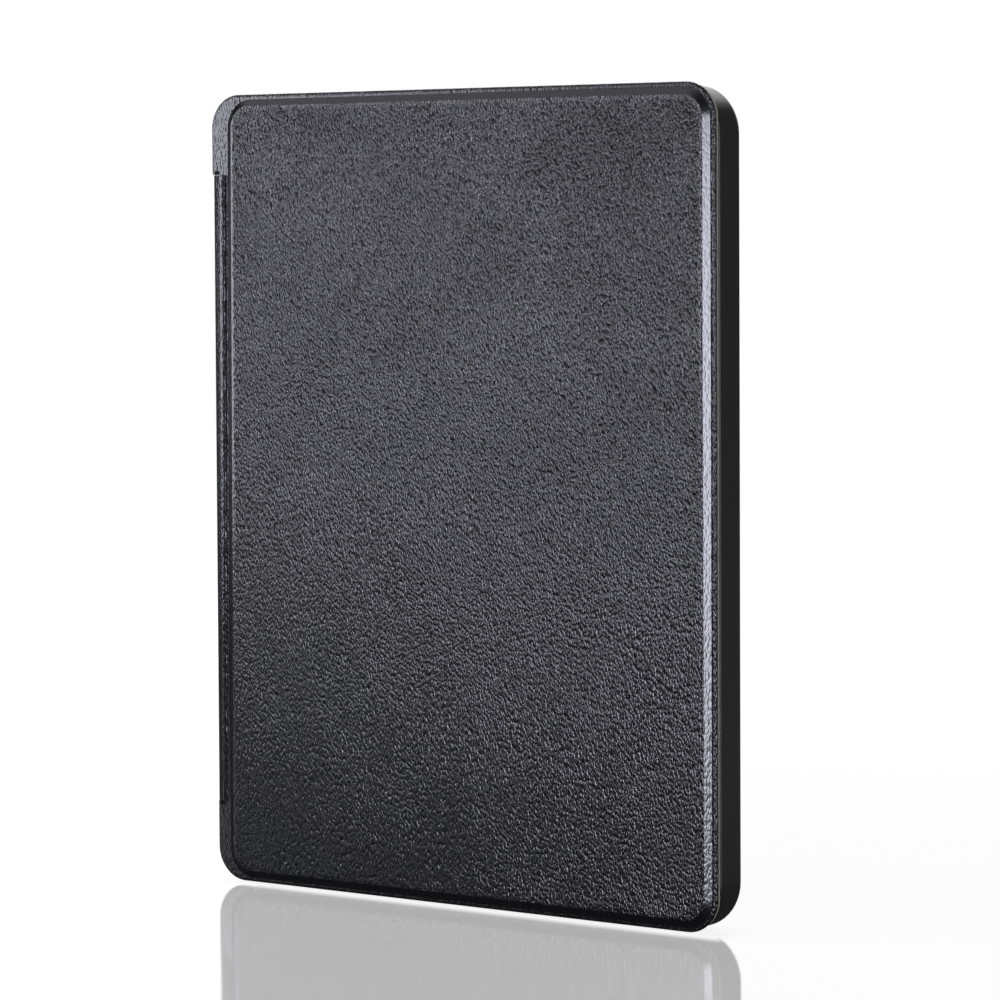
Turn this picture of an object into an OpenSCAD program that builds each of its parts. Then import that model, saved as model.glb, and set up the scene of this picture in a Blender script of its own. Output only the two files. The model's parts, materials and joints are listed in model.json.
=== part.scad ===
// Slim folio case for a tablet: a moulded tray, a leather spine and a stiff leather front cover.
// It stands on its short bottom edge. X runs across the case from the spine to the free edge,
// Y runs from the front cover to the back, Z runs up. The origin is the centre of the base.

/* [Front cover] */
// Width of the cover from its free left corners to its right edge
cover_w = 189.6; // [150:0.1:230]
// Height of the cover
cover_h = 246; // [200:1:300]
// Corner radius of the cover
cover_r = 10.5; // [9:0.5:16]
// How far the padded panel stands above the flat rim
panel_rise = 1.2; // [0.6:0.1:1.8]
// Width of the sloping shoulder between panel and rim
shoulder_w = 2.8; // [1:0.1:3]
// Width of the flat rim at the top, bottom and right
rim_w = 1.3; // [0.8:0.1:3]
// Width of the flat rim beside the spine
rim_spine_w = 5.6; // [4.2:0.1:7]
// Depth of the channel pressed into that rim along the hinge
channel_depth = 0.35; // [0.2:0.05:0.5]
// Radius of the channel's round bottom
channel_r = 1.6; // [1.2:0.1:2]
// Thickness of the leather over the panel
skin_t = 0.8; // [0.5:0.1:1.2]
// Thickness of the folded leather at the rim
rim_leather_t = 1.3; // [1.1:0.1:2]
// Thickness of the sponge under the panel
foam_t = 0.6; // [0.3:0.1:0.8]
// Thickness of the lining on the inside of the cover
lining_t = 1.1; // [0.5:0.1:1.5]
// How far the lining stays inside the edge of the leather
lining_inset = 0.3; // [0.2:0.1:1]
// Gap around the stiffener board and the sponge
board_clear = 0.3; // [0.2:0.1:1]

/* [Magnets] */
// Number of closing magnets along the free edge
magnet_count = 4; // [2:1:6]
// Length of a closing magnet
magnet_len = 20; // [10:1:25]
// Width of a closing magnet
magnet_w = 6; // [4:0.5:8]
// Distance between closing magnets, centre to centre
magnet_pitch = 45; // [30:1:48]
// Distance from the board's free edge to the magnet pockets
magnet_margin = 2.5; // [1.5:0.5:6]
// Radius of the wake magnet
wake_r = 4; // [2.5:0.5:5]
// Height of the wake magnet above the base
wake_z = 22; // [18:1:26]
// Gap around each magnet in its pocket
magnet_clear = 0.15; // [0.1:0.05:0.4]

/* [Tray] */
// Depth of the tray from its front edge to its back face
shell_d = 12.3; // [11:0.1:18]
// Corner radius of the tray
shell_r = 14; // [12:0.5:18]
// Wall thickness of the tray
wall_t = 1.4; // [1:0.1:2]
// Thickness of the tray's back wall
floor_t = 1.5; // [1.3:0.1:2.5]
// Radius of the outer back edge
back_edge_r = 3.0; // [2:0.1:3.5]
// Radius of the outer front edge
front_edge_r = 0.8; // [0.5:0.1:0.9]
// Radius of the fillet inside, between wall and back
inner_fillet_r = 1.5; // [0.8:0.1:2.5]
// How far the cover stands past the tray at the free edge
side_overhang = 0.2; // [0.1:0.1:3]
// How far the cover stands past the tray at the top
top_overhang = 0.8; // [0.3:0.1:3]
// Gap between the closed cover and the tray
cover_gap = 0.3; // [0.2:0.1:0.8]
// Thickness of the clips that hold the tablet
clip_t = 0.9; // [0.6:0.1:1.5]
// How far the clips reach over the tablet
clip_reach = 0.9; // [0.5:0.1:1.5]
// Bevel on the front edge of the clips
clip_bevel = 0.3; // [0.1:0.1:0.4]
// Length of each corner clip along its walls, from the tray's corner
corner_clip_len = 34; // [24:1:50]
// Length of the clips in the middle of the long walls
side_clip_len = 40; // [10:1:60]
// Thickness of the liner sheet
liner_t = 0.3; // [0.2:0.1:0.6]
// Extra radius of the liner's window around the camera
liner_window_gap = 1; // [0.5:0.1:3]
// Gap between the liner sheet and the walls
liner_gap = 1.8; // [1.7:0.1:3]

/* [Cut-outs] */
// Height of the slots through the end walls, front to back
slot_d = 6.4; // [4.8:0.1:7]
// Width of the shallow step round the mouth of each slot
mouth_grow = 0.8; // [0.3:0.1:1]
// Depth of that step
mouth_depth = 0.5; // [0.2:0.1:0.7]
// Length of the power key slot
power_len = 18; // [10:1:24]
// Distance from the tray's centre to the power key slot
power_x = 66; // [55:1:66]
// Length of the volume key slot
volume_len = 26; // [16:1:30]
// Distance from the tray's centre to the volume key slot
volume_x = 36; // [20:1:36]
// Length of the charging port slot
port_len = 28; // [14:1:34]
// Length of each loudspeaker slot
speaker_len = 24; // [10:1:30]
// Distance from the tray's centre to each loudspeaker slot
speaker_x = 50; // [36:1:60]
// Radius of the headphone hole
jack_r = 3.8; // [3.4:0.1:4]
// Distance from the tray's centre to the headphone hole
jack_x = 66; // [40:1:70]
// Radius of the camera window
camera_r = 6; // [4.5:0.5:8]
// Distance from the tray's right side to the camera window
camera_side = 18; // [15:1:40]
// Distance from the tray's top to the camera window
camera_top = 19; // [15:1:40]
// Width of the bevel around the round windows
bevel = 0.7; // [0.3:0.1:0.9]

/* [Spine] */
// Distance from each end of the case to the leather of the spine
spine_end = 23.5; // [18:0.5:40]
// Height of the relief hole at each end of the spine leather
notch_h = 1.3; // [0.8:0.1:3]
// Length of the relief hole, up to the crease
notch_w = 2.3; // [2:0.1:3]
// Height of the slit that runs from the cover's edge to the relief hole
slit_h = 0.2; // [0.1:0.1:0.7]
// How far the spine's face stays inside the cover's free left corners
spine_inset = 0.2; // [0.1:0.1:1]
// Thickness of the spine's stiffener
spine_board_t = 0.6; // [0.4:0.1:1]
// Thickness of the spine's lining
spine_lining_t = 0.4; // [0.3:0.1:0.8]
// Gap between the spine and the tray
spine_gap = 0.3; // [0.2:0.1:0.8]
// Distance from the cover's free left corners to the crease where the spine leather starts
crease_w = 3.5; // [2.5:0.1:4]
// Outer radius of the leather where it bends into the cover
front_bend_r = 1.6; // [1.2:0.1:2]
// Outer radius of the leather where it bends into the back
back_bend_r = 3.4; // [3.1:0.1:3.5]

/* [Back leather] */
// How far the back leather stays inside the tray's outline
back_margin = 4; // [3.8:0.1:8]
// How far the back leather stands above the tray's back face
back_proud = 0.3; // [0.2:0.1:0.6]
// Thickness of the adhesive sheet
adhesive_t = 0.15; // [0.1:0.05:0.2]
// How far the adhesive stays inside the leather
adhesive_inset = 1.0; // [0.5:0.1:3]
// Gap between the back leather and the edge of its recess
back_clear = 0.2; // [0.1:0.1:0.5]
// Extra radius of the leather's window around the camera
camera_skin_gap = 2; // [1.2:0.1:4]

/* [Hidden] */
$fn = 64;
// how far one solid runs into the next so that they join, and how far a cut runs past a face
eps = 0.01;
over = 1;
// share of the panel's shoulder that is rounded at its crest, and again at its foot
round_end = 0.2;

// depths, front to back
total_t = panel_rise + rim_leather_t + lining_t + cover_gap + shell_d + back_proud;
y_front = -total_t / 2;
y_rim = y_front + panel_rise;
y_foam = y_front + skin_t;
y_board = y_foam + foam_t;
y_lining = y_rim + rim_leather_t;
y_cover_back = y_lining + lining_t;
y_shell = y_cover_back + cover_gap;
y_back = y_shell + shell_d;
y_skin = y_back + back_proud - skin_t;
y_recess = y_skin - adhesive_t;
y_floor = y_back - floor_t;
y_slot = (y_shell + clip_t + y_floor) / 2;

// cover outline
cx0 = -cover_w / 2;
cx1 = cover_w / 2;
// padded panel outline
px0 = cx0 + rim_spine_w;
px1 = cx1 - rim_w;
pz0 = rim_w;
pz1 = cover_h - rim_w;
panel_r = cover_r - rim_w;
// board outline
board_in = shoulder_w + board_clear;
board_r = panel_r - board_in;
board_t = y_lining - y_board;
// spine, from its leather face inwards
sx_face = cx0 + spine_inset;
sx_board = sx_face + skin_t;
sx_lining = sx_board + spine_board_t;
sx_in = sx_lining + spine_lining_t;
spine_z0 = spine_end + notch_h;
spine_z1 = cover_h - spine_end - notch_h;
spine_len = spine_z1 - spine_z0;
crease_x = cx0 + crease_w;
channel_x = (crease_x + px0) / 2;
// bends: the axis of each arc, seen from above
front_bend_x = sx_face + front_bend_r;
front_bend_y = y_rim + front_bend_r;
back_bend_x = sx_face + back_bend_r;
back_bend_y = y_back + back_proud - back_bend_r;
// tray outline
tx0 = sx_in + spine_gap;
tx1 = cx1 - side_overhang;
tz1 = cover_h - top_overhang;
tx_mid = (tx0 + tx1) / 2;
camera_x = tx1 - camera_side;
camera_z = tz1 - camera_top;
// back leather outline
bx0 = tx0 + back_margin;
bx1 = tx1 - back_margin;
bz0 = back_margin;
bz1 = tz1 - back_margin;
back_r = shell_r - back_margin;
// magnets
magnet_x = px1 - board_in - magnet_margin - magnet_w / 2;
magnet_z0 = cover_h / 2 - (magnet_count - 1) * magnet_pitch / 2;

LEATHER = [0.17, 0.18, 0.19];
PLASTIC = [0.13, 0.13, 0.14];
FABRIC = [0.55, 0.55, 0.53];
BOARD = [0.75, 0.72, 0.65];
FOAM = [0.9, 0.9, 0.88];
STEEL = [0.72, 0.73, 0.75];
TAPE = [0.85, 0.8, 0.55];

// points along an arc, in order from angle a0 to a1
function arc(c, r, a0, a1, n = 8) =
    [for (i = [0 : n]) c + r * [cos(a0 + (a1 - a0) * i / n), sin(a0 + (a1 - a0) * i / n)]];

// turns a flat shape so that its own x, y, z become X, Z, Y
module upright() rotate([90, 0, 0]) mirror([0, 0, 1]) children();

// a sheet cut from a flat shape, between two depths
module sheet(y0, y1) upright() translate([0, 0, y0]) linear_extrude(y1 - y0) children();

// a flat rounded rectangle
module rounded(x0, x1, z0, z1, r) {
    translate([x0 + r, z0]) square([x1 - x0 - 2 * r, z1 - z0]);
    translate([x0, z0 + r]) square([x1 - x0, z1 - z0 - 2 * r]);
    for (x = [x0 + r, x1 - r], z = [z0 + r, z1 - r]) translate([x, z]) circle(r);
}

// runs an edge profile once round a rounded rectangle: the profile's x is the distance
// outwards from the corner's centre and its y is the depth
module run_round(x0, x1, z0, z1, r) {
    corners = [[x1 - r, z1 - r, 0], [x0 + r, z1 - r, 90], [x0 + r, z0 + r, 180],
               [x1 - r, z0 + r, 270]];
    lengths = [z1 - z0 - 2 * r, x1 - x0 - 2 * r];
    upright() for (i = [0 : 3])
        translate([corners[i][0], corners[i][1], 0]) rotate([0, 0, corners[i][2]]) {
            rotate_extrude(angle = 90) children();
            rotate([90, 0, 0]) linear_extrude(lengths[i % 2]) children();
        }
}

// a plate with an edge profile all round it and a flat middle
module edged_plate(x0, x1, z0, z1, r, y0, y1) {
    run_round(x0, x1, z0, z1, r) children();
    sheet(y0, y1) translate([x0 + r, z0 + r]) square([x1 - x0 - 2 * r, z1 - z0 - 2 * r]);
}

// ---- tray -------------------------------------------------------------------------------

module wall_profile() {
    inner = shell_r - wall_t;
    polygon(concat(
        [[0, y_back], [0, y_floor]],
        arc([inner - inner_fillet_r, y_floor - inner_fillet_r], inner_fillet_r, 90, 0),
        [[inner, y_shell]],
        arc([shell_r - front_edge_r, y_shell + front_edge_r], front_edge_r, -90, 0, 4),
        arc([shell_r - back_edge_r, y_back - back_edge_r], back_edge_r, 0, 90)));
}

module clip_profile() {
    inner = shell_r - wall_t;
    polygon([[inner + eps, y_shell], [inner - clip_reach + clip_bevel, y_shell],
             [inner - clip_reach, y_shell + clip_bevel],
             [inner - clip_reach, y_shell + clip_t - clip_bevel], [inner + eps, y_shell + clip_t]]);
}

module clip_zones() {
    depth = clip_t + 2 * over;
    for (x = [tx0, tx1 - corner_clip_len], z = [0, tz1 - corner_clip_len])
        translate([x, y_shell - over, z]) cube([corner_clip_len, depth, corner_clip_len]);
    translate([tx0, y_shell - over, (tz1 - side_clip_len) / 2])
        cube([tx1 - tx0, depth, side_clip_len]);
}

// a bar with round ends along X, from height z0 to z1
module round_bar(x, z0, z1, len, grow = 0) {
    r = slot_d / 2 + grow;
    reach = (len - slot_d) / 2;
    translate([x, y_slot, z0]) {
        translate([-reach, -r, 0]) cube([2 * reach, 2 * r, z1 - z0]);
        for (side = [-1, 1]) translate([side * reach, 0, 0]) cylinder(z1 - z0, r = r);
    }
}

// a slot through the bottom wall, with a shallow step round its mouth
module bottom_slot(x, len) {
    round_bar(x, -over, wall_t + over, len);
    round_bar(x, -over, mouth_depth, len, mouth_grow);
}

// the same through the top wall
module top_slot(x, len) {
    round_bar(x, tz1 - wall_t - over, tz1 + over, len);
    round_bar(x, tz1 - mouth_depth, tz1 + over, len, mouth_grow);
}

// a round hole along Y at the camera
module camera_hole(y0, y1, r) {
    translate([camera_x, y1, camera_z]) rotate([90, 0, 0]) cylinder(y1 - y0, r = r);
}

module back_outline(grow) {
    rounded(bx0 - grow, bx1 + grow, bz0 - grow, bz1 + grow, back_r + grow);
    translate([back_bend_x - grow, spine_z0 - grow])
        square([bx0 - back_bend_x + back_r + grow, spine_len + 2 * grow]);
}

module back_shell() color(PLASTIC) difference() {
    union() {
        edged_plate(tx0, tx1, 0, tz1, shell_r, y_floor, y_back) wall_profile();
        intersection() {
            run_round(tx0, tx1, 0, tz1, shell_r) clip_profile();
            clip_zones();
        }
    }
    // recess for the back leather, open towards the spine
    sheet(y_recess, y_back + over) {
        rounded(bx0 - back_clear, bx1 + back_clear, bz0 - back_clear, bz1 + back_clear,
                back_r + back_clear);
        translate([tx0 - over, spine_z0 - back_clear])
            square([back_margin + back_r + over, spine_len + 2 * back_clear]);
    }
    camera_hole(y_floor - over, y_back + over, camera_r);
    translate([camera_x, y_recess + eps, camera_z]) rotate([90, 0, 0])
        cylinder(bevel, r1 = camera_r + bevel, r2 = camera_r);
    // top wall: power key, volume key, headphones
    top_slot(tx_mid + power_x, power_len);
    top_slot(tx_mid + volume_x, volume_len);
    translate([tx_mid - jack_x, y_slot, tz1 - wall_t - over]) cylinder(wall_t + 2 * over, r = jack_r);
    translate([tx_mid - jack_x, y_slot, tz1 - bevel])
        cylinder(bevel + eps, r1 = jack_r, r2 = jack_r + bevel);
    // bottom wall: charging port and two loudspeakers
    bottom_slot(tx_mid, port_len);
    for (side = [-1, 1]) bottom_slot(tx_mid + side * speaker_x, speaker_len);
}

module tray_liner() color(FABRIC) difference() {
    sheet(y_floor - liner_t, y_floor)
        rounded(tx0 + wall_t + liner_gap, tx1 - wall_t - liner_gap, wall_t + liner_gap,
                tz1 - wall_t - liner_gap, shell_r - wall_t - liner_gap);
    camera_hole(y_floor - liner_t - over, y_floor + over, camera_r + liner_window_gap);
}

// ---- back leather -----------------------------------------------------------------------

module back_adhesive() color(TAPE) difference() {
    sheet(y_recess, y_skin) back_outline(-adhesive_inset);
    camera_hole(y_recess - over, y_skin + over, camera_r + camera_skin_gap + adhesive_inset);
}

module back_skin() color(LEATHER) difference() {
    sheet(y_skin, y_skin + skin_t) back_outline(0);
    camera_hole(y_skin - over, y_skin + skin_t + over, camera_r + camera_skin_gap);
}

// a quarter turn of leather about an upright axis
module leather_bend(x, y, r, turn) {
    translate([x, y, spine_z0]) rotate([0, 0, turn])
        rotate_extrude(angle = 90) translate([r - skin_t, 0]) square([skin_t, spine_len]);
}

module back_hinge() color(LEATHER) leather_bend(back_bend_x, back_bend_y, back_bend_r, 90);

// ---- spine ------------------------------------------------------------------------------

module spine_layer(x0, x1) {
    translate([x0, front_bend_y, spine_z0]) cube([x1 - x0, back_bend_y - front_bend_y, spine_len]);
}

module spine_skin() color(LEATHER) spine_layer(sx_face, sx_board);

module spine_board() color(BOARD) spine_layer(sx_board, sx_lining);

module spine_lining() color(FABRIC) spine_layer(sx_lining, sx_in);

module front_hinge() color(LEATHER) {
    leather_bend(front_bend_x, front_bend_y, front_bend_r, 180);
    translate([front_bend_x, y_rim, spine_z0]) cube([crease_x - front_bend_x, skin_t, spine_len]);
}

// ---- front cover ------------------------------------------------------------------------

// the leather's folded edge: a half round
module rim_profile() {
    r = rim_leather_t / 2;
    translate([0, y_rim]) square([cover_r - r, rim_leather_t]);
    translate([cover_r - r, y_rim + r]) circle(r);
}

// the padded panel's edge: flat top, rounded crest, straight slope and rounded foot
module shoulder_profile() {
    top = panel_r - shoulder_w;
    end_w = shoulder_w * round_end;
    end_rise = panel_rise * round_end / (2 - 2 * round_end);
    polygon(concat(
        [[0, y_rim + eps], [0, y_front]],
        [for (t = [0 : 0.25 : 1]) [top + end_w * t, y_front + end_rise * t * t]],
        [for (t = [1 : -0.25 : 0]) [panel_r - end_w * t, y_rim - end_rise * t * t]],
        [[panel_r, y_rim + eps]]));
}

// what is cut from the cover's left edge to make room for the spine leather
module spine_relief(y0, y1) {
    sheet(y0 - over, y1 + over) translate([cx0 - over, spine_z0 - slit_h])
        square([crease_w + over, spine_len + 2 * slit_h]);
}

// the round-ended holes at the ends of the spine leather, where the leather stops tearing
module relief_holes() {
    r = notch_h / 2;
    sheet(y_rim - over, y_lining + over) for (z = [spine_z0 - r, spine_z1 + r]) {
        for (x = [crease_x - r, crease_x - notch_w + r]) translate([x, z]) circle(r);
        translate([crease_x - notch_w + r, z - r]) square([notch_w - notch_h, notch_h]);
    }
}

// the channel that the leather is pressed into beside the crease, so that the hinge folds there
module hinge_channel() {
    translate([channel_x, y_rim + channel_depth - channel_r, spine_z0])
        cylinder(spine_len, r = channel_r);
}

module board_outline(grow = 0) {
    rounded(px0 + board_in - grow, px1 - board_in + grow, pz0 + board_in - grow,
            pz1 - board_in + grow, board_r + grow);
}

module front_skin() color(LEATHER) difference() {
    union() {
        edged_plate(cx0, cx1, 0, cover_h, cover_r, y_rim, y_lining) rim_profile();
        edged_plate(px0, px1, pz0, pz1, panel_r, y_front, y_rim + eps) shoulder_profile();
    }
    spine_relief(y_rim, y_lining);
    relief_holes();
    hinge_channel();
    sheet(y_foam, y_lining + over) board_outline(board_clear);
}

module front_foam() color(FOAM) sheet(y_foam, y_board) board_outline();

module magnet_places() {
    for (i = [0 : magnet_count - 1]) translate([magnet_x, magnet_z0 + i * magnet_pitch]) children();
}

module front_board() color(BOARD) difference() {
    sheet(y_board, y_lining) board_outline();
    sheet(y_board - over, y_lining + over) {
        magnet_places() square([magnet_w, magnet_len] + 2 * magnet_clear * [1, 1], center = true);
        translate([magnet_x, wake_z]) circle(wake_r + magnet_clear);
    }
}

module closing_magnets() color(STEEL) sheet(y_board, y_lining)
    magnet_places() square([magnet_w, magnet_len], center = true);

module sleep_magnet() color(STEEL) sheet(y_board, y_lining) translate([magnet_x, wake_z]) circle(wake_r);

module front_lining() color(FABRIC) difference() {
    sheet(y_lining, y_cover_back)
        rounded(cx0 + lining_inset, cx1 - lining_inset, lining_inset, cover_h - lining_inset,
                cover_r - lining_inset);
    spine_relief(y_lining, y_cover_back);
}

back_shell();
tray_liner();
back_adhesive();
back_skin();
back_hinge();
spine_skin();
spine_board();
spine_lining();
front_hinge();
front_skin();
front_foam();
front_board();
closing_magnets();
sleep_magnet();
front_lining();
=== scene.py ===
"""Looks of a slim folio case for a tablet: pebbled leather cover and back, satin tray, felt linings.

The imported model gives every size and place. This file remodels the leather and the linings as
finished pieces, gives every surface its material, and sets the studio, the lamps and the camera.
"""

import json
import math

import bmesh
import bpy
from mathutils import Matrix, Vector

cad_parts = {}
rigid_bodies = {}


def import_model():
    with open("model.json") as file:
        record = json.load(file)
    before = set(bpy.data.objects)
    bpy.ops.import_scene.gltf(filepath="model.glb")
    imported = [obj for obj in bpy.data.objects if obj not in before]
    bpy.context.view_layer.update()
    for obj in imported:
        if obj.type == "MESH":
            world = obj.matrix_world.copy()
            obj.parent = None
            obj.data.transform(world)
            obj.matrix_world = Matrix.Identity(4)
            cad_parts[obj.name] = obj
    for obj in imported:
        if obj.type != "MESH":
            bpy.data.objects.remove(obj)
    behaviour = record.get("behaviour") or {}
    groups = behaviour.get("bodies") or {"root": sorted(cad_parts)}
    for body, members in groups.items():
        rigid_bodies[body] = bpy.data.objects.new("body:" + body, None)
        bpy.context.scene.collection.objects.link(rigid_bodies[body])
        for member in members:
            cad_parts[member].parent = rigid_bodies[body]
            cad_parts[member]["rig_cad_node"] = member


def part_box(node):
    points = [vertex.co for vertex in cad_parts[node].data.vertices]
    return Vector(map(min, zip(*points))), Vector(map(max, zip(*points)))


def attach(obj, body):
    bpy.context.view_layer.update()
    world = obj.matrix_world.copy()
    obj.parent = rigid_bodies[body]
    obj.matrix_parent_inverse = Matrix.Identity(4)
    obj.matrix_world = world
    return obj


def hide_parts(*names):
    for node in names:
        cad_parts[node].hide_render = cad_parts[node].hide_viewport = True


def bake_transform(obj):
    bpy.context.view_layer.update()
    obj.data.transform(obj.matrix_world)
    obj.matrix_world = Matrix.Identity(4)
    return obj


MM = 0.001
TINY = 1e-6  # metres: places closer than this are the same
HAIR = 0.001 * MM  # a step too small to see
PAST = 2 * MM  # how far a cutting tool reaches past what it cuts

# the cover leather
CORNER_R = 10.5 * MM  # outer corner of the cover
CORNER_STEPS = 16  # segments in each rounded corner
SHOULDER_W = 2.5 * MM  # width of the sloping shoulder round the padded panel
SHOULDER_STEPS = 20
SHOULDER_ROUND = 0.12  # share of the shoulder that is rounded at its foot, and again at its top
CREST_W = 1.5 * MM  # the band along the panel's edge that the padding still lifts
CROWN = 0.01 * MM  # and how much it lifts it
BOARD_CLEAR = 0.6 * MM  # from the shoulder's inner edge to the stiffener board
FOLD_R, FOLD_STEPS = 0.9 * MM, 6  # rounding of the folded leather edge in front
FOLD_BACK_R, FOLD_BACK_STEPS = 0.35 * MM, 3  # and behind

# the hinge side of the cover
HOLE_H = 1.3 * MM  # relief hole at each end of the spine leather
HOLE_W = 2.3 * MM
HOLE_DEPTH = 1.0 * MM
HOLE_STEPS = 6  # segments in its round ends
SLIT = 0.1 * MM  # slit from the cover's edge to the relief hole
VALLEY = ((1.2, 0.7), (1.4, 0.7), (3.65, -0.12))  # the channel: mm past the crease, mm deep
OUT_OF_TRUE = 1.78 * MM  # the hand-laid panel's spine side leans by this much over its height
LEAN_MIDDLE = 0.34  # share of the height at which that side is in its place
CREASE_LOW = -1.6 * MM  # how far the crease is out of its place at its lower end

# the spine leather
BULGE_TOP = 0.25 * MM  # how far the face swells towards the front bend, at its upper end
BULGE_LOW = 0.7 * MM  # and at its lower end
BEND_R = 1.1 * MM  # the tight part of the front bend
BEND_DROP = 1.75 * MM  # from the rim's face back to the middle of that bend
BEND_STEPS = 10  # segments in it
LEAN = 20  # degrees that the leather leans from there up to the ridge at the crease
RIDGE_START = -0.05 * MM  # from where the ridge begins to the crease
RIDGE = ((0.25, -0.045), (0.6, -0.065), (1.0, -0.04),  # how the leather rolls over the ridge
         (1.5, 0.05), (1.85, 0.2), (2.0, 0.5))  # and into the channel: mm along, mm down
BACK_BEND_STEPS = 16

# the back leather
BACK_CORNER_R = 10.0 * MM
WINDOW_R = 8.0 * MM  # window in the leather around the camera
WINDOW_STEPS = 64
WINDOW_DEEP = 20 * MM  # length of the tool that cuts it
WINDOW_SIDE = 18 * MM  # from the tray's right side to the middle of the window
WINDOW_TOP = 19 * MM  # from the tray's top

# the linings
LINING_SOFT, LINING_STEPS = 0.25 * MM, 3  # soft edge of the felt
LINE_IN = 2.4 * MM  # from the edge to the line that is pressed round the felt
LINE_W, LINE_D = 0.4 * MM, 0.15 * MM  # half that line's width, and its depth

# how deep the leather's pebble is pressed, where 1 is full
PANEL_GRAIN = 0.58  # at the middle of the panel's foot
PANEL_GRAIN_UP = 0.54  # more at its top
PANEL_GRAIN_RIGHT = 0.1  # more at its right edge, less at its left
CREST_GRAIN = 0.5
CREST_DEPTH = 0.1 * MM  # how far down the shoulder the crest's grain goes, but for the spine side
SHOULDER_GRAIN = 0.06  # at the top, where the leather is stretched nearly flat
SHOULDER_GRAIN_LOW = 0.15  # more at the foot
RIM_GRAIN, RIM_GRAIN_SPINE = 0.35, 0.28
FOLD_GRAIN, FOLD_GRAIN_SPINE = 0.8, 0.5
FRONT_BEND_GRAIN, BACK_BEND_GRAIN, BACK_GRAIN = 0.25, 0.6, 1

# the patterns of the finishes
PEBBLES_PER_M = 1550.0  # pebbles 0.65 mm wide
PEBBLE_STRETCH = 0.5  # and twice as long
PEBBLE_LEAN = 20  # degrees
PEBBLE_HEIGHT = 0.57 * MM  # drawn deeper than pressed, so that it shows from a distance
PEBBLE_SOFT = 0.2  # how much neighbouring pebbles run into one another
PEBBLE_ROUND = 2.0  # the power that makes each a dome
DRIFT_PER_M, DRIFT = 16.0, 10 * MM  # the rows wander by some mm over 60 mm
RAGGED_PER_M, RAGGED = 900.0, 0.3 * MM  # the pebbles' outlines are uneven by up to 0.15 mm
WRINKLES_PER_M, WRINKLE = 1900.0, -0.14  # wrinkles 0.5 mm apart, as a share of the height
PATCHES_PER_M, PATCH_WORN = 45.0, 0.78  # patches 22 mm wide where handling has pressed the pebbles
GRIT_PER_M = 2500.0  # spark marks 0.4 mm apart, coarser than real so that they show
NAP_PER_M = 1400.0  # tufts of hair 0.7 mm wide
STROKES_PER_M = 40.0  # patches 25 mm wide where the nap lies another way
MOTTLE_PER_M = 600.0  # marks 1.7 mm wide on the parts inside

# the camera
LENS, SENSOR = 151.15, 36  # mm
CAMERA_AIM = Vector((12.07, 0, 122.89)) * MM
CAMERA_AZIMUTH, CAMERA_ELEVATION, CAMERA_ROLL = 37.05, 3.758, -0.339  # degrees
CAMERA_DISTANCE = 1259.4 * MM

# the studio
FLOOR_W = 12  # metres
FLOOR_DROP = 0.7 * MM  # the floor lies a hair below the case
CASE_HALF_W, CASE_HALF_D = 93.6 * MM, 6.9 * MM  # the floor has no gloss where the case stands
GLOSS_FADE, GLOSS = 6.6 * MM, 0.55  # the gloss comes in over this distance, up to this share
GLOSS_GRIT = 0.02  # unevenness that softens the mirror image
PALE_NEAR, PALE_FAR, PALE = 0.2, 0.8, 0.88  # the floor is this pale near the case, and white far off
FLOOR_LIT = 0.15  # the part of the floor's white that takes the case's shadow
FLOOR_DULL = 0.45  # painted light: how pale the floor is behind the case, a painted pool of light that it throws back on the case
THROW_FRONT, THROW_BACK, THROW = -0.02, 0.12, 0.1  # and from where on: in front it is only this dull and otherwise clear, painted shade before the case
ROOM = 0.02  # how bright the room is, where 1 is white


# ---- modelling helpers ------------------------------------------------------------------------


def deselect():
    """Nothing selected and nothing in edit mode."""
    if bpy.context.object and bpy.context.object.mode != "OBJECT":
        bpy.ops.object.mode_set(mode="OBJECT")
    bpy.ops.object.select_all(action="DESELECT")


def edit(piece, mode="FACE"):
    """Opens one piece in edit mode with nothing selected."""
    deselect()
    piece.select_set(True)
    bpy.context.view_layer.objects.active = piece
    bpy.ops.object.mode_set(mode="EDIT")
    bpy.ops.mesh.select_mode(type=mode)
    bpy.ops.mesh.select_all(action="DESELECT")


def close(piece):
    """Back to object mode."""
    bpy.ops.object.mode_set(mode="OBJECT")
    return piece


def pick(piece, kind, test):
    """Selects the faces, edges or vertices of the open piece that pass a test."""
    mesh = bmesh.from_edit_mesh(piece.data)
    for part in getattr(mesh, kind):
        part.select_set(bool(test(part)))
    mesh.select_flush_mode()
    bmesh.update_edit_mesh(piece.data)


def slab(name, low, high):
    """A box between two corners, its place in its mesh."""
    deselect()
    middle = (low + high) / 2
    bpy.ops.mesh.primitive_cube_add(size=1, location=middle)
    piece = bpy.context.object
    piece.name = piece.data.name = name
    piece.scale = high - low
    bpy.ops.object.transform_apply(location=True, rotation=True, scale=True)
    return piece


def runs_along(edge, axis):
    """True if an edge is parallel to an axis, 0 for X, 1 for Y and 2 for Z."""
    span = edge.verts[1].co - edge.verts[0].co
    return abs(span[axis]) > 0.999 * span.length


def round_edges(piece, test, radius, steps):
    """Bevels the edges that pass a test."""
    edit(piece, "EDGE")
    pick(piece, "edges", test)
    bpy.ops.mesh.bevel(offset=radius, segments=steps, affect="EDGES", clamp_overlap=True)
    return close(piece)


def rounded_slab(name, low, high, corner):
    """A plate that stands upright, facing the front, with four rounded corners."""
    piece = slab(name, low, high)
    return round_edges(piece, lambda e: runs_along(e, 1), corner, CORNER_STEPS)


def is_rim(edge, depth):
    """True for an edge of a plate's outline at that depth."""
    flat = all(abs(v.co.y - depth) < TINY for v in edge.verts)
    return flat and any(abs(f.normal.y) < 0.5 for f in edge.link_faces)


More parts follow.
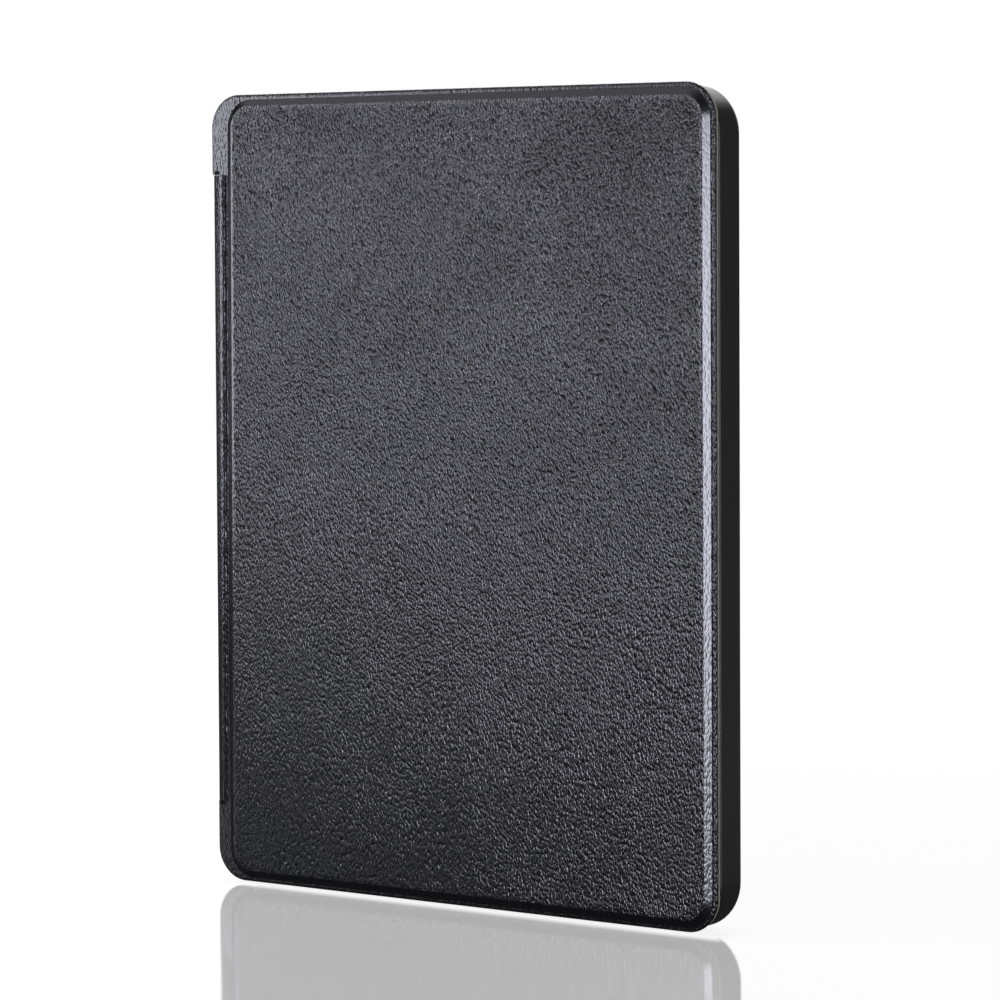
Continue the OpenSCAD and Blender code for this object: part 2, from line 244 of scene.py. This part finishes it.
def cut(piece, tool):
    """Cuts one piece out of another and deletes the tool."""
    deselect()
    bpy.context.view_layer.objects.active = piece
    piece.select_set(True)
    change = piece.modifiers.new("cut", "BOOLEAN")
    change.operation = "DIFFERENCE"
    change.solver = "EXACT"
    change.object = tool
    bpy.ops.object.modifier_apply(modifier=change.name)
    bpy.data.objects.remove(tool, do_unlink=True)
    return piece


def smooth(piece, degrees=40):
    """Smooth shading that keeps the sharp edges."""
    deselect()
    piece.select_set(True)
    bpy.context.view_layer.objects.active = piece
    bpy.ops.object.shade_smooth_by_angle(angle=math.radians(degrees))
    deselect()
    return piece


def finish_piece(piece, finish, body, slot, *stands_for):
    """Gives a piece its material and the body it rides on, and hides the nodes that it stands for."""
    piece.data.materials.clear()
    piece.data.materials.append(finish)
    if body:
        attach(piece, body)
    if stands_for:
        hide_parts(*stands_for)
    return piece


# ---- leather pieces ---------------------------------------------------------------------------


def cover_leather(size):
    """The front leather: a flat rim with a folded edge, and a padded panel on a sloping shoulder."""
    piece = rounded_slab("cover_leather", Vector((size.left, size.rim, 0)),
                         Vector((size.right, size.lining, size.top)), CORNER_R)
    round_edges(piece, lambda e: is_rim(e, size.rim), FOLD_R, FOLD_STEPS)
    round_edges(piece, lambda e: is_rim(e, size.lining), FOLD_BACK_R, FOLD_BACK_STEPS)
    edit(piece)
    pick(piece, "faces", lambda f: f.normal.y < -0.9 and f.calc_area() > size.face)
    bpy.ops.mesh.inset(thickness=size.rim_w - FOLD_R, depth=0)
    widen_spine_side(piece, size, OUT_OF_TRUE)
    for i in range(SHOULDER_STEPS):
        rise = slope((i + 1) / SHOULDER_STEPS) - slope(i / SHOULDER_STEPS)
        bpy.ops.mesh.inset(thickness=SHOULDER_W / SHOULDER_STEPS,
                           depth=rise * (size.panel_rise - CROWN))
    bpy.ops.mesh.inset(thickness=CREST_W, depth=CROWN)
    # pocket for the board and the sponge, open to the back
    pick(piece, "faces", lambda f: f.normal.y > 0.9 and f.calc_area() > size.face)
    bpy.ops.mesh.inset(thickness=size.rim_w - FOLD_BACK_R + SHOULDER_W, depth=0)
    widen_spine_side(piece, size)
    bpy.ops.mesh.extrude_region_move(
        TRANSFORM_OT_translate={"value": (0, size.foam - size.lining, 0)})
    close(piece)
    cut(piece, spine_cutter(size, CREASE_LOW))
    cut(piece, channel_cutter(size))
    for z in (size.spine_low - HOLE_H, size.spine_high):
        cut(piece, hole_cutter(size, z))
    return piece


def widen_spine_side(piece, size, lean=0.0):
    """The rim is wider beside the spine: the selected face's spine side moves inwards, and leans."""
    mesh = bmesh.from_edit_mesh(piece.data)
    for v in [v for v in mesh.verts if v.select and v.co.x < 0]:
        v.co.x += size.rim_spine_w - size.rim_w + lean * (v.co.z / size.top - LEAN_MIDDLE)
    bmesh.update_edit_mesh(piece.data)


def slope(t, round_end=SHOULDER_ROUND):
    """A slope from 0 to 1 that is straight but for its rounded ends."""
    if t > 1 - round_end:
        return 1 - slope(1 - t, round_end)
    if t < round_end:
        return t * t / round_end / (2 - 2 * round_end)
    return (t - round_end / 2) / (1 - round_end)


def spine_cutter(size, lean=0.0):
    """What is cut from the cover's left side to make room for the spine leather, slits included."""
    tool = slab("spine_cutter", Vector((size.left - PAST, size.front - PAST, size.spine_low - SLIT)),
                Vector((size.crease, size.back, size.spine_high + SLIT)))
    for v in tool.data.vertices:
        v.co.x += lean if v.co.x > size.left and v.co.z < size.top / 2 else 0
    return tool


def channel_cutter(size):
    """The channel beside the crease, as long as the spine leather."""
    floor = [(size.crease + x * MM, size.rim + depth * MM) for x, depth in VALLEY]
    outline = [(size.crease - PAST, size.rim - PAST), (size.crease - PAST, floor[0][1])] + floor
    outline += [(floor[-1][0], size.rim - PAST)]
    return lofted_strip("channel_cutter", [(x + CREASE_LOW, y) for x, y in outline], outline, size)


def hole_cutter(size, low):
    """A relief hole with round ends, pressed through the cover leather down to the lining."""
    tool = slab("hole_cutter", Vector((size.crease - HOLE_W, size.rim - PAST, low)),
                Vector((size.crease, size.rim + HOLE_DEPTH, low + HOLE_H)))
    return round_edges(tool, lambda e: runs_along(e, 1), HOLE_H / 2 - HAIR, HOLE_STEPS)


def cover_grain(size):
    """How deep the pebble is: full on the panel, nearly flat on the shoulder, soft on the rim."""
    def depth(place):
        up = place.z / size.top
        if place.y < size.front + CROWN / 2:
            return PANEL_GRAIN + PANEL_GRAIN_UP * up + PANEL_GRAIN_RIGHT * place.x / size.right
        by_spine = place.x < size.left + size.rim_spine_w + SHOULDER_W + OUT_OF_TRUE
        if place.y < size.front + CREST_DEPTH and not by_spine:
            return CREST_GRAIN
        if place.y < size.rim - HAIR:
            return SHOULDER_GRAIN + SHOULDER_GRAIN_LOW * (1 - up) ** 3
        if place.y < size.rim + HAIR:
            return RIM_GRAIN_SPINE if by_spine else RIM_GRAIN
        return FOLD_GRAIN_SPINE if by_spine else FOLD_GRAIN
    return depth


def mark_grain(piece, depth):
    """Writes how deep the pebble is, from 0 to 1, at each point of a leather piece."""
    grain = piece.data.attributes.new("grain", "FLOAT", "POINT")
    for v, mark in zip(piece.data.vertices, grain.data):
        mark.value = depth(v.co)
    return piece


def lofted_strip(name, low, high, size):
    """A strip as long as the spine leather, between two outlines seen from above."""
    deselect()
    mesh = bpy.data.meshes.new(name)
    mesh.from_pydata([(x, y, size.spine_low) for x, y in low], [], [tuple(range(len(low)))])
    piece = bpy.data.objects.new(name, mesh)
    bpy.context.scene.collection.objects.link(piece)
    edit(piece)
    bpy.ops.mesh.select_all(action="SELECT")
    bpy.ops.mesh.extrude_region_move(
        TRANSFORM_OT_translate={"value": (0, 0, size.spine_high - size.spine_low)})
    shape = bmesh.from_edit_mesh(mesh)
    for v in [v for v in shape.verts if v.co.z > size.top / 2]:
        place = min(range(len(low)), key=lambda i: (v.co.xy - Vector(low[i])).length)
        v.co.x, v.co.y = high[place]
    bmesh.update_edit_mesh(mesh)
    bpy.ops.mesh.select_all(action="SELECT")
    bpy.ops.mesh.normals_make_consistent(inside=False)
    return close(piece)


def bend(cx, cy, rx, ry, start, stop, steps):
    """Points along an elliptical bend, from one angle in degrees to another."""
    turn = [math.radians(start + (stop - start) * i / steps) for i in range(steps + 1)]
    return [(cx + rx * math.cos(a), cy + ry * math.sin(a)) for a in turn]


def front_bend_outline(size, bulge, crease):
    """The spine's front half, its bend and the ridge that rolls into the channel, from above."""
    thick, lean = size.leather, math.radians(LEAN)
    middle = Vector((size.spine - bulge + BEND_R, size.rim + BEND_DROP))
    run = size.spine_middle - middle.y
    outer = [(size.spine - bulge * t * t, size.spine_middle - run * t)
             for t in (0, 0.25, 0.5, 0.75)]
    outer += bend(*middle, BEND_R, BEND_R, 180, 270 - LEAN, BEND_STEPS)
    x, y = outer[-1]
    start = crease - RIDGE_START
    crest = y - (start - x) * math.tan(lean)
    outer += [(start + x * MM, crest + drop * MM) for x, drop in ((0, 0),) + RIDGE]
    inside = [(start + RIDGE[-1][0] * MM, size.rim + thick), (start, size.rim + thick)]
    inside += bend(*middle, BEND_R - thick, BEND_R - thick, 270 - LEAN, 180, BEND_STEPS)
    return outer + inside + [(size.spine + thick, size.spine_middle)]


def front_bend_leather(size):
    """The front bend; it swells a little more towards its lower end."""
    return lofted_strip("front_bend_leather",
                        front_bend_outline(size, BULGE_LOW, size.crease + CREASE_LOW),
                        front_bend_outline(size, BULGE_TOP, size.crease), size)


def back_bend_leather(size):
    """The spine's back half and its bend into the back leather."""
    face, inner, thick = size.spine, size.spine + size.leather, size.leather
    radius = size.back_bend - face
    centre = (size.back_bend, size.back - radius)
    outline = bend(*centre, radius, radius, 90, 180, BACK_BEND_STEPS)
    outline += [(face, size.spine_middle), (inner, size.spine_middle)]
    outline += bend(*centre, radius - thick, radius - thick, 180, 90, BACK_BEND_STEPS)
    return lofted_strip("back_bend_leather", outline, outline, size)


def back_leather(size):
    """The back leather: rounded, with a tongue that runs out to the spine and a camera window."""
    low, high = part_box("back_skin")
    left = size.back_left
    piece = rounded_slab("back_leather", Vector((left, low.y, low.z)), high, BACK_CORNER_R)
    edit(piece)
    for z in (size.spine_low, size.spine_high):
        bpy.ops.mesh.select_all(action="SELECT")
        bpy.ops.mesh.bisect(plane_co=(0, 0, z), plane_no=(0, 0, 1))
    pick(piece, "faces", lambda f: f.normal.x < -0.9 and
         size.spine_low < f.calc_center_median().z < size.spine_high)
    bpy.ops.mesh.extrude_region_move(TRANSFORM_OT_translate={"value": (low.x - left, 0, 0)})
    close(piece)
    deselect()
    bpy.ops.mesh.primitive_cylinder_add(vertices=WINDOW_STEPS, radius=WINDOW_R, depth=WINDOW_DEEP,
                                        location=(size.window_x, high.y, size.window_z),
                                        rotation=(math.radians(90), 0, 0))
    return cut(piece, bpy.context.object)


# ---- linings ----------------------------------------------------------------------------------


def cover_lining(size):
    """The felt lining inside the cover, with a soft edge and a line pressed round it."""
    low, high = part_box("front_lining")
    inset = low.x - size.left
    piece = rounded_slab("cover_lining", low, high, CORNER_R - inset)
    round_edges(piece, lambda e: is_rim(e, high.y), LINING_SOFT, LINING_STEPS)
    edit(piece)
    pick(piece, "faces", lambda f: f.normal.y > 0.9 and f.calc_area() > size.face)
    bpy.ops.mesh.inset(thickness=LINE_IN, depth=0)
    bpy.ops.mesh.inset(thickness=LINE_W, depth=-LINE_D)
    bpy.ops.mesh.inset(thickness=LINE_W, depth=LINE_D)
    close(piece)
    return cut(piece, spine_cutter(size))


# ---- materials --------------------------------------------------------------------------------


def linear(colour):
    """An sRGB hex colour as linear RGBA."""
    parts = [int(colour[i:i + 2], 16) / 255 for i in (0, 2, 4)]
    return [p / 12.92 if p <= 0.04045 else ((p + 0.055) / 1.055) ** 2.4 for p in parts] + [1]


def add(tree, kind, settings=None, **inputs):
    """Adds a node. Settings are its own, inputs are numbers, colours or another node's socket."""
    node = tree.nodes.new("ShaderNode" + kind)
    for name, value in (settings or {}).items():
        setattr(node, name, value)
    for name, value in inputs.items():
        socket = node.inputs[int(name[1:])] if name[0] == "_" else node.inputs[name.replace("_", " ")]
        if isinstance(value, bpy.types.NodeSocket):
            tree.links.new(value, socket)
        else:
            socket.default_value = value
    return node


def blank(name):
    """A material with only its output node."""
    made = bpy.data.materials.new(name)
    made.use_nodes = True
    made.node_tree.nodes.clear()
    return made, made.node_tree, made.node_tree.nodes.new("ShaderNodeOutputMaterial")


def surface(tree, output, **settings):
    """The one shader of a solid finish."""
    shader = add(tree, "BsdfPrincipled", **settings)
    tree.links.new(shader.outputs[0], output.inputs["Surface"])
    return shader


def pebbled_leather():
    """Black polyurethane leather, embossed with a fine drawn-out pebble: a soft, broken sheen.

    The pebbles lean by about 20 degrees, a little more or less from place to place, and the
    attribute "grain" says how deep they are. A lacquer over the black gives it twice the gloss
    of bare plastic, with a cold tint, and it is a little duller where the pebble is deep.
    """
    made, tree, output = blank("pebbled_leather")
    place = add(tree, "TexCoord").outputs["Object"]
    drift = add(tree, "TexNoise", Vector=place, Scale=DRIFT_PER_M, Detail=1.0)
    centred = add(tree, "VectorMath", {"operation": "SUBTRACT"}, _0=drift.outputs["Color"],
                  _1=(0.5, 0.5, 0.5))
    warp = add(tree, "VectorMath", {"operation": "SCALE"}, _0=centred.outputs[0], Scale=DRIFT)
    moved = add(tree, "VectorMath", {"operation": "ADD"}, _0=place, _1=warp.outputs[0])
    drawn = add(tree, "Mapping", Vector=moved.outputs[0],
                Rotation=(0, math.radians(-PEBBLE_LEAN), 0), Scale=(1, 1, PEBBLE_STRETCH))
    ragged = add(tree, "TexNoise", Vector=drawn.outputs[0], Scale=RAGGED_PER_M, Detail=2.0)
    shift = add(tree, "VectorMath", {"operation": "SCALE"}, _0=ragged.outputs["Color"],
                Scale=RAGGED)
    broken = add(tree, "VectorMath", {"operation": "ADD"}, _0=drawn.outputs[0], _1=shift.outputs[0])
    cells = add(tree, "TexVoronoi", {"feature": "SMOOTH_F1"}, Vector=broken.outputs[0],
                Scale=PEBBLES_PER_M, Smoothness=PEBBLE_SOFT)
    dome = add(tree, "Math", {"operation": "POWER"}, _0=cells.outputs["Distance"],
               _1=PEBBLE_ROUND)
    wrinkle = add(tree, "TexNoise", Vector=drawn.outputs[0], Scale=WRINKLES_PER_M, Detail=2.0)
    pebble = add(tree, "Math", {"operation": "MULTIPLY_ADD"}, _0=wrinkle.outputs[0],
                 _1=WRINKLE, _2=dome.outputs[0])
    depth = add(tree, "Attribute", {"attribute_name": "grain"}).outputs["Fac"]
    patch = add(tree, "TexNoise", Vector=place, Scale=PATCHES_PER_M, Detail=3.0)
    worn = add(tree, "MapRange", Value=patch.outputs[0], _1=0.3, _2=0.7, _3=PATCH_WORN,
               _4=1.0)
    strength = add(tree, "Math", {"operation": "MULTIPLY"}, _0=depth, _1=worn.outputs[0])
    bump = add(tree, "Bump", {"invert": True}, Height=pebble.outputs[0],
               Strength=strength.outputs[0], Distance=PEBBLE_HEIGHT)
    rough = add(tree, "MapRange", Value=depth, _3=0.24, _4=0.30)
    surface(tree, output, Base_Color=linear("040507"), Roughness=rough.outputs[0],
            Normal=bump.outputs[0], IOR=1.5, Specular_IOR_Level=1.0,
            Specular_Tint=(0.86, 0.86, 1, 1))
    return made


def satin_plastic():
    """Moulded black polycarbonate from a spark-eroded mould: an even satin with a soft light edge."""
    made, tree, output = blank("satin_polycarbonate")
    place = add(tree, "TexCoord").outputs["Object"]
    grit = add(tree, "TexNoise", Vector=place, Scale=GRIT_PER_M, Detail=2.0)
    bump = add(tree, "Bump", Height=grit.outputs[0], Strength=0.12, Distance=0.02 * MM)
    surface(tree, output, Base_Color=linear("1b1b1c"), Roughness=0.36, Normal=bump.outputs[0],
            IOR=1.55)
    return made


def felt(name, colour):
    """Brushed microfibre: short flattened hairs, no gloss and a pale sheen at its edges."""
    made, tree, output = blank(name)
    place = add(tree, "TexCoord").outputs["Object"]
    nap = add(tree, "TexNoise", Vector=place, Scale=NAP_PER_M, Detail=4.0, Roughness=0.7)
    brushed = add(tree, "TexNoise", Vector=place, Scale=STROKES_PER_M, Detail=3.0)
    bump = add(tree, "Bump", Height=nap.outputs[0], Strength=0.5, Distance=0.1 * MM)
    marks = add(tree, "MapRange", Value=brushed.outputs[0], _1=0.3, _2=0.7, _3=0.86, _4=1.0)
    shade = add(tree, "MixRGB", {"blend_type": "MULTIPLY"}, Fac=1.0, Color1=linear(colour),
                Color2=marks.outputs[0])
    surface(tree, output, Base_Color=shade.outputs[0], Roughness=0.95, Normal=bump.outputs[0],
            Sheen_Weight=0.3)
    return made


def plain(name, colour, roughness, metallic=0.0):
    """A finish for the parts inside: one even colour, slightly mottled."""
    made, tree, output = blank(name)
    place = add(tree, "TexCoord").outputs["Object"]
    mottle = add(tree, "TexNoise", Vector=place, Scale=MOTTLE_PER_M, Detail=3.0)
    bump = add(tree, "Bump", Height=mottle.outputs[0], Strength=0.2, Distance=0.05 * MM)
    surface(tree, output, Base_Color=linear(colour), Roughness=roughness, Metallic=metallic,
            Normal=bump.outputs[0])
    return made


# ---- studio -----------------------------------------------------------------------------------


def around(centre, azimuth, elevation, distance):
    """A place seen from a point; azimuth 0 is straight in front, 90 is to the right."""
    a, e = math.radians(azimuth), math.radians(elevation)
    return centre + distance * Vector((math.sin(a) * math.cos(e), -math.cos(a) * math.cos(e),
                                       math.sin(e)))


def studio_camera():
    """A long lens at three-quarter front, a little above the middle, rolled by a third of a degree."""
    data = bpy.data.cameras.new("camera")
    data.sensor_width = SENSOR
    data.lens = LENS
    data.clip_start, data.clip_end = 0.05, 50
    camera = bpy.data.objects.new("camera", data)
    bpy.context.scene.collection.objects.link(camera)
    place = around(CAMERA_AIM, CAMERA_AZIMUTH, CAMERA_ELEVATION, CAMERA_DISTANCE)
    back = (place - CAMERA_AIM).normalized()
    right = Vector((0, 0, 1)).cross(back).normalized()
    up = back.cross(right)
    level = Matrix((right, up, back)).transposed().to_4x4()
    camera.matrix_world = (Matrix.Translation(place) @ level
                           @ Matrix.Rotation(math.radians(CAMERA_ROLL), 4, "Z"))
    bpy.context.scene.camera = camera
    return camera


def softbox(name, place, aim, width, height, radiance):
    """An area lamp that faces a point; its radiance is how bright it looks, where 1 is white."""
    data = bpy.data.lights.new(name, "AREA")
    data.shape = "RECTANGLE"
    data.size, data.size_y = width, height
    data.energy = radiance * math.pi * width * height
    lamp = bpy.data.objects.new(name, data)
    bpy.context.scene.collection.objects.link(lamp)
    lamp.location = place
    lamp.rotation_euler = (aim - place).to_track_quat("-Z", "Y").to_euler()
    lamp.visible_camera = False
    return lamp


def studio_world():
    """White to the camera and to clear mirrors of it, a dim room to everything else."""
    world = bpy.data.worlds.new("studio")
    bpy.context.scene.world = world
    world.use_nodes = True
    tree = world.node_tree
    tree.nodes.clear()
    output = tree.nodes.new("ShaderNodeOutputWorld")
    ray = add(tree, "LightPath")
    clear = add(tree, "Math", {"operation": "MAXIMUM"}, _0=ray.outputs["Is Camera Ray"],
                _1=ray.outputs["Is Singular Ray"])
    white = add(tree, "Background", Color=(1, 1, 1, 1), Strength=1.0)
    room = add(tree, "Background", Color=(1, 1, 1, 1), Strength=ROOM)
    mix = add(tree, "MixShader", _0=clear.outputs[0], _1=room.outputs[0], _2=white.outputs[0])
    tree.links.new(mix.outputs[0], output.inputs["Surface"])


def studio_floor():
    """White to the camera, with a clear gloss; what it throws back is dark in front, pale behind.

    It has no gloss under the case, which stands clear of its own mirror image.
    """
    deselect()
    bpy.ops.mesh.primitive_plane_add(size=FLOOR_W, location=(0, 0, -FLOOR_DROP))
    floor = bpy.context.object
    floor.name = "floor"
    made, tree, output = blank("white_floor")
    ray = add(tree, "LightPath")
    place = add(tree, "TexCoord").outputs["Object"]
    reach = add(tree, "VectorMath", {"operation": "LENGTH"}, _0=place)
    white = add(tree, "MapRange", Value=reach.outputs["Value"], _1=PALE_NEAR, _2=PALE_FAR,
                _3=PALE, _4=1.0)
    paper = add(tree, "BsdfDiffuse", Color=(FLOOR_LIT, FLOOR_LIT, FLOOR_LIT, 1))
    glow = add(tree, "Emission", Color=(1, 1, 1, 1), Strength=white.outputs[0])
    pale = add(tree, "AddShader", _0=paper.outputs[0], _1=glow.outputs[0])
    speck = add(tree, "TexWhiteNoise", {"noise_dimensions": "3D"}, Vector=place)
    tilt = add(tree, "VectorMath", {"operation": "SUBTRACT"}, _0=speck.outputs["Color"],
               _1=(0.5, 0.5, 0.5))
    small = add(tree, "VectorMath", {"operation": "MULTIPLY"}, _0=tilt.outputs[0],
                _1=(GLOSS_GRIT, GLOSS_GRIT, 0))
    facing = add(tree, "VectorMath", {"operation": "ADD"}, _0=(0, 0, 1), _1=small.outputs[0])
    gloss = add(tree, "BsdfGlossy", Color=(1, 1, 1, 1), Roughness=0.0, Normal=facing.outputs[0])
    deep = add(tree, "SeparateXYZ", Vector=place)
    aside = add(tree, "Math", {"operation": "ABSOLUTE"}, _0=deep.outputs["X"])
    ahead = add(tree, "Math", {"operation": "ABSOLUTE"}, _0=deep.outputs["Y"])
    past = add(tree, "Math", {"operation": "SUBTRACT"}, _0=aside.outputs[0], _1=CASE_HALF_W)
    front = add(tree, "Math", {"operation": "SUBTRACT"}, _0=ahead.outputs[0], _1=CASE_HALF_D)
    away = add(tree, "Math", {"operation": "MAXIMUM"}, _0=past.outputs[0], _1=front.outputs[0])
    shine = add(tree, "MapRange", Value=away.outputs[0], _1=0.0, _2=GLOSS_FADE, _3=0.0, _4=GLOSS)
    seen = add(tree, "MixShader", _0=shine.outputs[0], _1=pale.outputs[0], _2=gloss.outputs[0])
    # painted light: what the floor throws back is set by place, a painted pool of light behind the
    # case and painted shade in front of it
    behind = add(tree, "MapRange", Value=deep.outputs["Y"], _1=THROW_FRONT, _2=THROW_BACK,
                 _3=THROW, _4=1.0)
    clear = add(tree, "BsdfTransparent")
    dull = add(tree, "BsdfDiffuse", Color=(FLOOR_DULL, FLOOR_DULL, FLOOR_DULL, 1))
    lit = add(tree, "MixShader", _0=behind.outputs[0], _1=clear.outputs[0], _2=dull.outputs[0])
    mix = add(tree, "MixShader", _0=ray.outputs["Is Camera Ray"], _1=lit.outputs[0],
              _2=seen.outputs[0])
    tree.links.new(mix.outputs[0], output.inputs["Surface"])
    floor.data.materials.append(made)


# ---- the case ---------------------------------------------------------------------------------


class Size:
    """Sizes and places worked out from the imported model, in metres."""

    def __init__(self):
        skin_low, skin_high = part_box("front_skin")
        hinge_low, hinge_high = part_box("front_hinge")
        board_low, board_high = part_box("front_board")
        foam_low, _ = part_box("front_foam")
        spine_low, spine_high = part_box("spine_skin")
        _, bend_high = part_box("back_hinge")
        _, back_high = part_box("back_skin")
        edge = SHOULDER_W + BOARD_CLEAR
        self.left, self.right, self.top = skin_low.x, skin_high.x, skin_high.z
        self.front, self.rim, self.lining = skin_low.y, hinge_low.y, skin_high.y
        self.foam, self.back = foam_low.y, back_high.y
        self.panel_rise = self.rim - self.front
        self.rim_w = skin_high.x - board_high.x - edge
        self.rim_spine_w = board_low.x - skin_low.x - edge
        self.spine, self.leather = spine_low.x, spine_high.x - spine_low.x
        self.spine_low, self.spine_high = spine_low.z, spine_high.z
        self.spine_middle = (spine_low.y + spine_high.y) / 2
        self.crease = hinge_high.x
        self.back_bend = bend_high.x
        tray_low, tray_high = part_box("back_shell")
        self.back_left = tray_low.x + tray_high.x - back_high.x
        self.window_x = tray_high.x - WINDOW_SIDE
        self.window_z = tray_high.z - WINDOW_TOP
        self.face = 0.5 * (self.right - self.left) * self.top  # no edge face is as large as this


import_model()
deselect()
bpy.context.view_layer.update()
studio_camera()
size = Size()

leather = pebbled_leather()
plastic = satin_plastic()
suede = felt("grey_microfibre", "aeaca3")

cover = smooth(mark_grain(cover_leather(size), cover_grain(size)))
finish_piece(cover, leather, "front_cover", "pebbled_leather", "front_skin")
front_bend = smooth(mark_grain(front_bend_leather(size), lambda place: FRONT_BEND_GRAIN))
finish_piece(front_bend, leather, None, "pebbled_leather", "front_hinge", "spine_skin")
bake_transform(front_bend)
back_bend = smooth(mark_grain(back_bend_leather(size), lambda place: BACK_BEND_GRAIN))
finish_piece(back_bend, leather, None, "pebbled_leather", "back_hinge")
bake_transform(back_bend)
back = smooth(mark_grain(back_leather(size), lambda place: BACK_GRAIN))
finish_piece(back, leather, "shell", "pebbled_leather", "back_skin")
lining = smooth(cover_lining(size))
finish_piece(lining, suede, "front_cover", "microfibre", "front_lining")

nodes = {o["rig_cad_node"]: o for o in bpy.data.objects if "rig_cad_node" in o}
FINISHES = {
    "back_shell": plastic,
    "tray_liner": suede,
    "spine_lining": suede,
    "back_adhesive": plain("acrylic_adhesive", "c9bf9a", 0.3),
    "spine_board": plain("polypropylene_board", "1d1d1f", 0.5),
    "front_board": plain("grey_board", "9a958a", 0.9),
    "front_foam": plain("sponge", "d8d6ce", 0.95),
    "closing_magnets": plain("nickel_plated_magnet", "b9bbc0", 0.25, 1.0),
    "sleep_magnet": plain("nickel_plated_magnet", "b9bbc0", 0.25, 1.0),
}
for name, finish in FINISHES.items():
    node = nodes[name]
    node.data.materials.clear()
    node.data.materials.append(finish)

middle = Vector((0, 0, size.top / 2))
upper_left = Vector((-14.5, 14.5, 295)) * MM
low_corner = Vector((-82, 85, -55)) * MM
SOFTBOXES = (  # what it faces, azimuth and elevation in degrees, distance, width, height, radiance
    ("left_softbox", upper_left, -51, 0, 0.5, 0.20, 0.42, 5.1),  # the panel and the rim
    ("front_softbox", middle, 22, -2, 1.0, 0.34, 0.45, 12.3),  # the bright line on the right
    ("fill_softbox", middle, -20, 6, 1.3, 0.6, 0.4, 0.12),  # a little into the dark parts
    ("low_softbox", low_corner, -46, 0, 0.5, 0.11, 0.13, 1.4),  # the panel's foot
    ("top_softbox", middle, -55, 50, 1.2, 1.6, 0.5, 0.7),  # the shoulder at the top
    ("corner_softbox", middle, -5, 32, 1.2, 0.5, 0.4, 0.5),  # the top right corner
    ("left_card", middle, -110, 6, 1.0, 1.3, 0.5, 0.13),  # the bends at the spine
    ("right_card", middle, 75, 5, 1.0, 0.8, 0.8, 1.4),  # the tray's side
    ("back_softbox", middle, -155, 30, 1.2, 1.2, 0.9, 2.2),  # the back leather
    ("back_card", middle, 140, 12, 1.2, 0.9, 0.8, 0.12),
)
for name, aim, azimuth, elevation, distance, width, height, radiance in SOFTBOXES:
    softbox(name, around(aim, azimuth, elevation, distance), aim, width, height, radiance)
studio_world()
studio_floor()
bpy.context.scene.view_settings.view_transform = "Standard"
